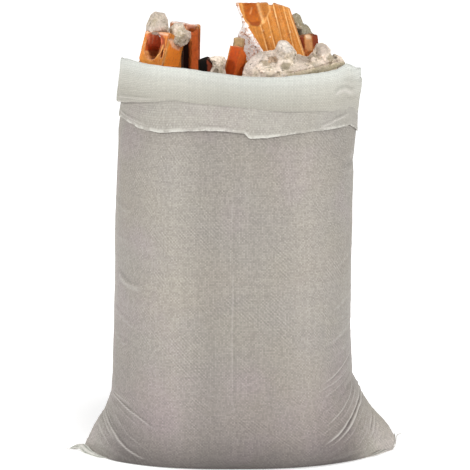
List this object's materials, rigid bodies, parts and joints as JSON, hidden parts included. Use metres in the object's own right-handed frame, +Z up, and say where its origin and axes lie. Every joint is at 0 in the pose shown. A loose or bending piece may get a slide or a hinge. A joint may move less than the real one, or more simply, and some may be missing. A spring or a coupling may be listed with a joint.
{
  "type": "filled rubble sack",
  "caption": "Woven plastic rubble sack with a rolled cuff and eared bottom hem, standing filled to the brim with broken hollow bricks and mortar.",
  "frame": {"origin": "on the floor, under the middle of the sack's bounding box", "axes": "+Z up out of the mouth, -Y towards the front of the sack, +X to the right seen from the front, along the bottom seam"},
  "size_m": [0.5328, 0.3255, 0.7082],
  "materials": {
    "woven_cloth": "plain weave of flat plastic tapes, off-white, dusty",
    "thread": "twisted sewing thread, off-white",
    "brick": "fired orange clay, matt, broken edges",
    "mortar": "rough grey-beige sand and cement mortar",
    "rubble_mix": "brick and mortar crumbs and dust"
  },
  "bodies": {
    "root": {"brick_behind_ribs": "brick", "brick_half_rear_left": "brick", "brick_plate": "brick", "brick_rear_left": "brick", "brick_rear_middle": "brick", "brick_rear_right": "brick", "brick_ribbed": "brick", "brick_shard_middle": "brick", "brick_shard_rear": "brick", "brick_splinter": "brick", "brick_standing": "brick", "brick_wedge": "brick", "brick_with_oval_hole": "brick", "load_core": "rubble_mix", "mortar_between_bricks": "mortar", "mortar_chunk_front": "mortar", "mortar_left_edge": "mortar", "mortar_middle": "mortar", "mortar_on_left_brick": "mortar", "mortar_rear_left": "mortar", "mortar_rear_lower": "mortar", "mortar_rear_middle": "mortar", "mortar_rear_right": "mortar", "mortar_rear_upper": "mortar", "mortar_right_edge": "mortar", "mortar_slab": "mortar", "sack_cloth": "woven_cloth", "seam_thread": "thread"}
  },
  "joints": []
}
